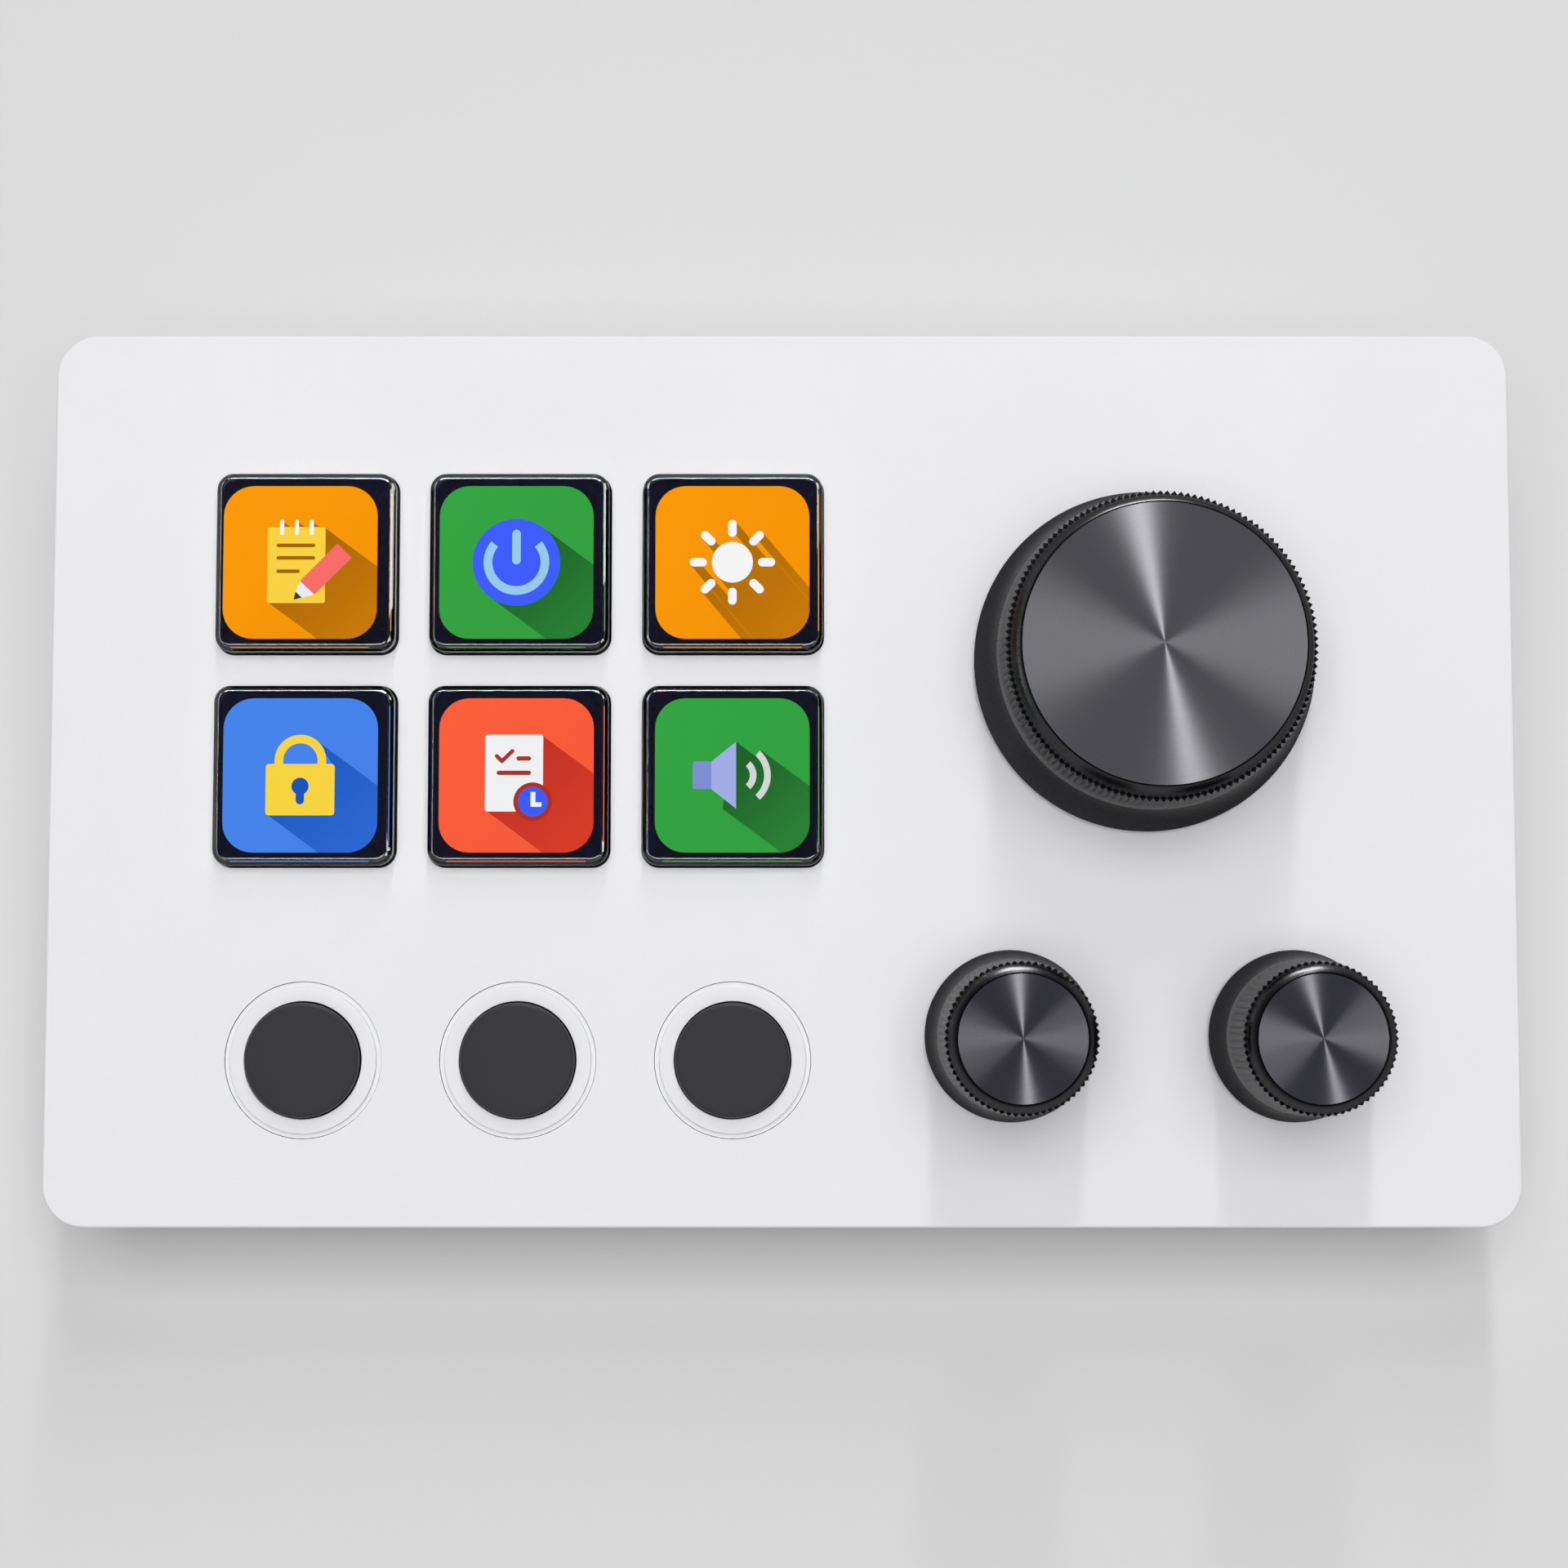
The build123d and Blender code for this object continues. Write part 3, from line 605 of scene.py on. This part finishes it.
def squarePrism(width, corner, cornerSteps, low, high):
    mesh = bmesh.new()
    bmesh.ops.create_grid(mesh, x_segments=1, y_segments=1, size=width / 2,
                          matrix=Matrix.Translation((0, 0, high)))
    bmesh.ops.bevel(mesh, geom=mesh.verts[:], offset=corner, offset_type="OFFSET", segments=cornerSteps,
                    profile=0.5, affect="VERTICES", material=-1, clamp_overlap=False)
    made = bmesh.ops.extrude_face_region(mesh, geom=mesh.faces[:], use_keep_orig=True)
    bmesh.ops.translate(mesh, verts=newVerts(made), vec=(0, 0, low - high))
    bmesh.ops.recalc_face_normals(mesh, faces=mesh.faces)
    return mesh


def makeKeyCap(number, centre):
    top, low = keyCap["top"], keyCap["low"]
    mesh = squarePrism(keyCap["width"], keyCap["corner"], keyCap["cornerSteps"], low, top)
    bottom = flatFace(mesh, low)
    bmesh.ops.inset_region(mesh, faces=bottom, thickness=keyCap["wall"], use_even_offset=True)
    made = bmesh.ops.extrude_face_region(mesh, geom=bottom)  # the hollow that goes over the display
    bmesh.ops.delete(mesh, geom=[face for face in bottom if face.is_valid], context="FACES_ONLY")
    bmesh.ops.translate(mesh, verts=newVerts(made), vec=(0, 0, keyCap["roof"] - low))
    rim = [edge for face in flatFace(mesh, top) for edge in face.edges]
    sloped = bmesh.ops.bevel(mesh, geom=rim, offset=keyCap["chamfer"], offset_type="OFFSET", segments=1,
                             profile=0.5, affect="EDGES", material=-1)["faces"]
    slopes = [face for face in sloped if 0.2 < face.normal.z < 0.95]  # neither upright nor level
    lines = {edge for face in slopes for edge in face.edges  # the chamfer's two level lines
             if abs(edge.verts[0].co.z - edge.verts[1].co.z) < hair}
    roundOff(mesh, list(lines), keyCap["round"], 3)
    settle(f"key_cap_{number}_dressed", mesh, centre, [clearCap], f"key_{number}",
           f"key_cap_{number}", sharp=40)


for number, centre in enumerate(keyCentres, start=1):
    makeKeyCap(number, centre)
print("key caps made")

# The pictures on the displays are thin lit layers, drawn in millimetres round each key's centre.
# the picture's strip values place the thin strips of painted refraction in the caps' clear edges
picture = {
    "tile": 14.05, "corner": 2.75, "cornerSteps": 8, "roundSteps": 72, "height": 1.505, "layer": 0.020,
    "thick": 0.010, "shadowAngle": 36.5, "paintedEdgeNear": 7.56, "paintedEdgeFar": 7.71, "paintedEdgeEnd": 6.3,
    "shift": (-0.50, -0.26, -0.04, -0.26, -0.14, -0.03),  # how far each picture stands to the right
}
# its strip values set the colour and fade of the painted refraction strips
inkFinish = {
    "glow": 1.04, "lightReach": 28.0, "tileFade": 0.04, "paintedEdgeFade": 0.10, "markFade": 0.015,
    "grid": 43.0, "gridShare": 0.2, "shadowReach": 11.0, "paintedEdgeShare": 0.72, "paintedEdgeLift": 36,
}


def startInk(name, centre):
    paint = Paint(name, Roughness=0.5, IOR=1.0, Base_Color=(0, 0, 0),
                  Emission_Strength=inkFinish["glow"])
    x, y, _ = paint.split(paint.place(centre))
    return paint, x, y


def makeInk(name, centre, colour, fade):  # a lit colour, a little brighter towards the upper left
    paint, x, y = startInk(name, centre)
    slope = (0.5 + (y - x) / inkFinish["lightReach"]).clamp()
    grid = (x * inkFinish["grid"]).wave() * (y * inkFinish["grid"]).wave()
    low = tuple(part * (1 - fade) for part in linear(colour))
    high = tuple(part * (1 + fade) for part in linear(colour))
    return paint.set(Emission_Color=paint.mix(slope + inkFinish["gridShare"] * grid, low, high))


def makeShadowInk(name, centre, near, far):  # the long shadow pales towards the lower right
    paint, x, y = startInk(name, centre)
    share = ((x - y) / inkFinish["shadowReach"]).clamp()
    return paint.set(Emission_Color=paint.mix(share, linear(near), linear(far)))


class Picture:
    def __init__(self, number, tile, near, far, inks):
        shift = picture["shift"][number - 1]
        self.number = number
        self.centre = keyCentres[number - 1] + Vector((shift, 0, 0))
        self.mesh = bmesh.new()
        spot = (*self.centre.xy, 0)
        # the painted refraction strips take the tile's colour, dimmed
        edgeRefractionColour = tuple(inkFinish["paintedEdgeShare"] * part + inkFinish["paintedEdgeLift"] for part in tile)
        self.inks = {"tile": 0, "shadow": 1, "strip": 2}
        self.materials = [makeInk(f"tileInk_{number}", spot, tile, inkFinish["tileFade"]),
                          makeShadowInk(f"shadowInk_{number}", spot, near, far),
                          makeInk(f"stripInk_{number}", spot, edgeRefractionColour, inkFinish["paintedEdgeFade"])]
        for name, colour in inks.items():
            self.inks[name] = len(self.materials)
            self.materials.append(makeInk(f"{name}Ink_{number}", spot, colour, inkFinish["markFade"]))
        half = picture["tile"] / 2
        self.rectangle("tile", 0, -half, -half, half, half, picture["corner"])
        inner, outer, end = picture["paintedEdgeNear"], picture["paintedEdgeFar"], picture["paintedEdgeEnd"]
        # painted refraction: the display's colour, dimmed, painted as thin lit strips where the cap's clear
        # edge would show it, on the right and in front
        self.rectangle("strip", 0, inner - shift, -end, outer - shift, end)
        self.rectangle("strip", 0, -end, -outer, end, -inner)

    def keep(self, part, ink, layer):  # moves a finished layer into the picture
        height = picture["height"] + layer * picture["layer"]
        bmesh.ops.translate(part, verts=part.verts, vec=(0, 0, height))
        for face in part.faces:
            face.normal_update()
            if face.normal.z < 0:
                face.normal_flip()
        bmesh.ops.solidify(part, geom=part.faces[:], thickness=picture["thick"])
        for face in part.faces:
            face.material_index = self.inks[ink]
        data = freeInto(part, "layer")
        self.mesh.from_mesh(data)
        bpy.data.meshes.remove(data)

    def rectangle(self, ink, layer, left, low, right, high, corner=0.0, turn=None):
        part = bmesh.new()
        bmesh.ops.create_grid(part, x_segments=1, y_segments=1, size=0.5)
        bmesh.ops.scale(part, verts=part.verts, vec=(right - left, high - low, 1))
        bmesh.ops.translate(part, verts=part.verts, vec=((left + right) / 2, (low + high) / 2, 0))
        if corner:
            bmesh.ops.bevel(part, geom=part.verts[:], offset=corner, offset_type="OFFSET",
                            segments=picture["cornerSteps"], profile=0.5, affect="VERTICES", material=-1,
                            clamp_overlap=True)
        if turn:
            bmesh.ops.transform(part, matrix=turn, verts=part.verts)
        self.keep(part, ink, layer)

    def stroke(self, ink, layer, start, end, width):  # a straight stroke with round ends
        start, end = Vector(start), Vector(end)
        reach = end - start
        turn = Matrix.Translation((*start, 0)) @ Matrix.Rotation(math.atan2(reach.y, reach.x), 4, "Z")
        half = width / 2
        roundEnd = half * 0.998  # a hair under half, so that the corners don't meet
        self.rectangle(ink, layer, -half, -half, reach.length + half, half, roundEnd, turn)

    def disc(self, ink, layer, x, y, radius):
        part = bmesh.new()
        bmesh.ops.create_circle(part, cap_ends=True, segments=picture["roundSteps"], radius=radius,
                                matrix=Matrix.Translation((x, y, 0)))
        self.keep(part, ink, layer)

    def arc(self, ink, layer, x, y, inner, outer, start, sweep):  # angles in degrees, from the right
        part = bmesh.new()
        along = Vector((math.cos(math.radians(start)), math.sin(math.radians(start)), 0))
        ends = [part.verts.new(Vector((x, y, 0)) + along * radius) for radius in (inner, outer)]
        line = part.edges.new(ends)
        bmesh.ops.spin(part, geom=ends + [line], cent=(x, y, 0), axis=(0, 0, 1), dvec=(0, 0, 0),
                       angle=math.radians(sweep), steps=round(sweep / 360 * picture["roundSteps"]),
                       use_merge=False)
        self.keep(part, ink, layer)

    def patch(self, ink, layer, *corners):
        part = bmesh.new()
        part.faces.new([part.verts.new((x, y, 0)) for x, y in corners])
        self.keep(part, ink, layer)

    def shadow(self, layer, *outline, angle=picture["shadowAngle"]):
        part = bmesh.new()  # from the shadow's near edge out past the tile, and then cut at the tile's edge
        slope = math.radians(angle)
        away = Vector((math.cos(slope), -math.sin(slope), 0)) * 2 * picture["tile"]
        near = [Vector((x, y, 0)) for x, y in outline]
        far = [point + away for point in reversed(near)]
        part.faces.new([part.verts.new(point) for point in near + far])
        half, steps = picture["tile"] / 2, picture["cornerSteps"]
        hub = Vector((half - picture["corner"], picture["corner"] - half, 0))
        cuts = [((half, 0, 0), (1, 0, 0)), ((0, -half, 0), (0, -1, 0))]
        for step in range(1, steps):  # the tile's lower right corner
            bearing = step * math.pi / 2 / steps
            way = Vector((math.cos(bearing), -math.sin(bearing), 0))
            cuts.append((hub + way * picture["corner"], way))
        for point, way in cuts:
            bmesh.ops.bisect_plane(part, geom=part.verts[:] + part.edges[:] + part.faces[:], plane_co=point,
                                   plane_no=way, clear_outer=True)
        self.keep(part, "shadow", layer)

    def finish(self):
        layOnDeck(self.mesh, self.centre)
        dress(f"picture_{self.number}", self.mesh, self.materials, f"key_{self.number}", None,
              sharp=30, flatFirst=False)


def drawNotepad():
    inks = {"paper": (254, 215, 66), "ring": (250, 250, 245), "line": (161, 103, 0),
            "pencil": (253, 111, 104), "wood": (240, 240, 245), "lead": (60, 60, 50)}
    art = Picture(1, (253, 154, 0), (175, 106, 1), (203, 123, 0), inks)
    art.shadow(1, (2.2, 3.2), (-2.85, -3.72))
    art.rectangle("paper", 2, -3.0, -3.75, 2.29, 3.25, 0.2)
    for x in (-1.68, -0.33, 1.03):
        art.patch("shadow", 1, (x, 3.78), (x + 0.95, 3.1), (x, 3.1))
        art.stroke("ring", 3, (x, 2.68), (x, 3.72), 0.37)
    for y, end in ((1.55, 1.36), (0.4, 1.36), (-0.83, -0.03)):
        art.stroke("line", 3, (-2.0, y), (end - 0.16, y), 0.33)
    art.shadow(1, (4.7, 0.4), (1.32, -2.98))
    art.patch("pencil", 3, (3.38, 1.72), (0.0, -1.72), (1.32, -2.98), (4.7, 0.4))
    art.patch("wood", 3, (0.0, -1.72), (-0.4, -2.7), (0.2, -3.25), (1.32, -2.98))
    art.patch("lead", 3, (-0.4, -2.7), (-0.56, -3.45), (0.2, -3.25))
    art.finish()


def drawTimer():
    inks = {"face": (64, 94, 255), "mark": (155, 206, 238)}
    art = Picture(2, (53, 165, 65), (29, 101, 38), (40, 128, 51), inks)
    art.shadow(1, (2.38, 3.22), (-2.38, -3.22))
    art.disc("face", 2, 0, 0, 4.0)
    art.arc("mark", 3, 0, 0, 2.2, 3.0, 140, 260)
    art.stroke("mark", 3, (0, 0.19), (0, 2.61), 0.78)
    art.finish()


def drawSun():
    art = Picture(3, (253, 153, 0), (180, 110, 5), (203, 123, 0), {"light": (250, 250, 248)})
    slope = 50
    across = Vector((math.sin(math.radians(slope)), math.cos(math.radians(slope))))
    width, disc = 0.78, 1.87
    for ray in range(8):
        way = Vector((math.cos(ray * math.pi / 4), math.sin(ray * math.pi / 4)))
        side = across * width / 2
        tip = way * 3.51
        art.shadow(1, tip + side, tip - side, angle=slope)
        art.stroke("light", 3, way * 2.73, tip, width)
    art.shadow(1, across * disc, -across * disc, angle=slope)
    art.disc("light", 3, 0, 0, disc)
    art.finish()


def drawPadlock():
    inks = {"brass": (253, 216, 64), "hole": (23, 86, 192)}
    art = Picture(4, (70, 133, 237), (26, 92, 195), (43, 105, 212), inks)
    art.shadow(1, (1.4, 3.22), (2.9, 1.0), (-3.0, -3.55))
    art.arc("brass", 2, 0, 1.35, 1.56, 2.34, 0, 180)
    for side in (-1.95, 1.95):
        art.rectangle("brass", 2, side - 0.39, 0.8, side + 0.39, 1.36)
    art.rectangle("brass", 2, -3.13, -3.65, 3.13, 1.03, 0.3)
    art.disc("hole", 3, 0, -1.0, 0.78)
    art.stroke("hole", 3, (0, -1.0), (0, -2.27), 0.76)
    art.finish()


def drawChecklist():
    inks = {"paper": (245, 245, 245), "mark": (174, 53, 37), "clock": (61, 94, 255), "cut": (176, 50, 36)}
    art = Picture(5, (254, 94, 57), (200, 50, 33), (218, 60, 40), inks)
    art.shadow(1, (2.3, 3.65), (-2.7, -3.25))
    art.rectangle("paper", 2, -2.84, -3.3, 2.43, 3.7, 0.25)
    art.stroke("mark", 3, (-1.78, 1.75), (-1.31, 1.28), 0.37)
    art.stroke("mark", 3, (-1.31, 1.28), (-0.37, 2.2), 0.37)
    art.stroke("mark", 3, (0.2, 1.53), (1.14, 1.53), 0.4)
    art.stroke("mark", 3, (-1.58, 0.22), (1.14, 0.22), 0.4)
    art.disc("cut", 3, 1.5, -2.4, 1.75)
    art.disc("clock", 4, 1.5, -2.4, 1.34)
    art.rectangle("paper", 5, 1.31, -2.87, 1.75, -1.53)
    art.rectangle("paper", 5, 1.75, -2.87, 2.31, -2.47)
    art.finish()


def drawSpeaker():
    inks = {"box": (130, 144, 214), "cone": (165, 176, 232), "wave": (215, 220, 215)}
    art = Picture(6, (51, 165, 65), (31, 100, 41), (41, 130, 52), inks)
    art.shadow(1, (0.35, 3.05), (-0.9, -3.05))
    art.shadow(1, (2.6, 2.3), (2.0, -2.6))
    art.rectangle("box", 2, -3.6, -1.25, -1.7, 1.25, 0.25)
    art.patch("cone", 3, (-1.9, 1.25), (-1.9, -1.25), (0.35, -3.05), (0.35, 3.05))
    for inner in (1.1, 2.4):
        art.arc("wave", 3, 0.5, 0, inner, inner + 0.6, -48, 96)
    art.finish()


for draw in (drawNotepad, drawTimer, drawSun, drawPadlock, drawChecklist, drawSpeaker):
    draw()
print("pictures drawn")

studio = {
    "floor": (0.66, 0.66, 0.665), "floorSize": 12.0, "floorRoughness": 0.85,
    "fibres": 900.0, "fibreShade": 0.985,
    "backdrop": (0.69, 0.69, 0.695), "fadeFrom": 0.30, "fadeTo": 0.95,  # the floor fades into it, in metres
    "even": (0.17, 0.17, 0.17),  # the world's light on matt surfaces
    "gloss": ((0.0, (0.69, 0.69, 0.695)), (0.25, (0.36, 0.36, 0.39)), (0.5, (0.11, 0.11, 0.15)),
              (1.0, (0.03, 0.03, 0.035))),  # what gloss shows, from the horizon up
}
# The power is in watts, and the place and the size are in metres. A lamp is there for the given rays, or
# else for glossy ones alone. With "only" it lights just the pieces whose names start so, and with "spared"
# all others.
softboxes = {
    "over": {"power": 12.5, "place": (0, -0.15, 1.2), "size": (1.0, 1.0), "rays": ("diffuse",)},
    "strip": {"power": 3.2, "place": (0.045, 0.75, 0.75), "size": (0.06, 0.70),
              "rays": ("diffuse", "glossy", "transmission"), "spared": "key_cap_"},
    "left": {"power": 1.3, "place": (-0.70, 0, 0.60), "size": (0.70, 0.30), "only": "disc_"},
    "right": {"power": 1.3, "place": (0.70, 0, 0.60), "size": (0.70, 0.30), "only": "disc_"},
    "discTop": {"power": 0.5, "place": (0, -0.20, 1.0), "size": (1.0, 1.0), "only": "disc_large"},
    "ring": {"power": 11.0, "place": (0, 0.95, 0.31), "size": (0.45, 0.35), "only": "knob_"},
    "capRear": {"power": 55.0, "place": (0, 0.95, 0.42), "size": (1.4, 0.22), "only": "key_cap_"},
    "capFront": {"power": 20.0, "place": (0, -0.75, 0.55), "size": (1.4, 0.50), "only": "key_cap_"},
    "capLeft": {"power": 8.0, "place": (-0.85, 0, 0.16), "size": (1.4, 0.16), "only": "key_cap_"},
    "capRight": {"power": 8.0, "place": (0.85, 0, 0.16), "size": (1.4, 0.16), "only": "key_cap_"},
}


def makeFloor():
    mesh = bmesh.new()
    bmesh.ops.create_grid(mesh, x_segments=1, y_segments=1, size=studio["floorSize"] / 2)
    floor = linkObject("floor", freeInto(mesh, "floor"))
    paint = Paint("floorPaper", Roughness=studio["floorRoughness"])
    where = paint.node("ShaderNodeTexCoord", output="Object")
    fibres = paint.noise(where, studio["fibres"], 3.0)
    shade = tuple(studio["fibreShade"] * part for part in studio["floor"])
    floor.data.materials.append(paint.set(Base_Color=paint.mix(fibres, shade, studio["floor"])))
    x, y, _ = paint.split(where)
    away = (x * x + y * y) ** 0.5 - studio["fadeFrom"]
    fade = (away / (studio["fadeTo"] - studio["fadeFrom"])).clamp()
    seen = (paint.ray("Camera") + paint.ray("Glossy") + paint.ray("Transmission")).clamp()
    near = Wire(paint, paint.shader.outputs[0])
    far = paint.node("ShaderNodeEmission", None, {"Color": studio["backdrop"]})
    both = paint.node("ShaderNodeMixShader", None, {0: fade * seen, 1: near, 2: far})
    paint.feedNode("Material Output", "Surface", both)


def linkPieces(light, start, state):  # ties a lamp to the pieces whose names start so, or frees them of it
    linked = bpy.data.collections.new(light.name + "Pieces")
    for piece in bpy.context.scene.objects:
        if piece.name.startswith(start):
            linked.objects.link(piece)
    for member in linked.collection_objects:
        member.light_linking.link_state = state
    light.light_linking.receiver_collection = linked


def makeLight(name, setting):
    lamp = bpy.data.lights.new(name, "AREA")
    lamp.shape = "RECTANGLE"
    lamp.size, lamp.size_y = setting["size"]
    lamp.energy = setting["power"]
    light = linkObject(name, lamp)
    place = Vector(setting["place"])
    light.location = place
    light.rotation_euler = (-place).to_track_quat("-Z", "Y").to_euler()
    light.visible_camera = False
    for kind in ("diffuse", "glossy", "transmission"):
        setattr(light, "visible_" + kind, kind in setting.get("rays", ("glossy",)))
    if "only" in setting:
        linkPieces(light, setting["only"], "INCLUDE")
    if "spared" in setting:
        linkPieces(light, setting["spared"], "EXCLUDE")


def makeWorld():  # even light, a studio that darkens overhead for gloss, and the backdrop for the camera
    world = bpy.data.worlds.new("studio")
    bpy.context.scene.world = world
    world.use_nodes = True
    tree = Tree(world.node_tree)
    _, _, height = tree.split(tree.node("ShaderNodeTexCoord", output="Generated"))
    gloss = tree.node("ShaderNodeValToRGB", {"stops": studio["gloss"]}, {0: height})
    light = tree.mix(tree.ray("Diffuse"), gloss, studio["even"])
    tree.feedNode("Background", "Color", tree.mix(tree.ray("Camera"), light, studio["backdrop"]))


makeFloor()
for name, setting in softboxes.items():
    makeLight(name + "Softbox", setting)
makeWorld()

view = {  # place in deck millimetres, lean in radians, lens and sensor in millimetres, clip in metres
    "place": (0.17, -19.06, 254.99), "lean": 0.072, "lens": 64.213, "sensor": 36.0, "clip": 0.01,
}


def makeCamera():
    data = bpy.data.cameras.new("camera")
    data.lens = view["lens"]
    data.sensor_width = view["sensor"]
    data.clip_start = view["clip"]
    camera = linkObject("camera", data)
    stand = Matrix.Translation(Vector(view["place"]) * mm)
    camera.matrix_world = deck @ stand @ Matrix.Rotation(view["lean"], 4, "X")
    bpy.context.scene.camera = camera


makeCamera()
bpy.context.scene.view_settings.view_transform = "Standard"
print("studio set")
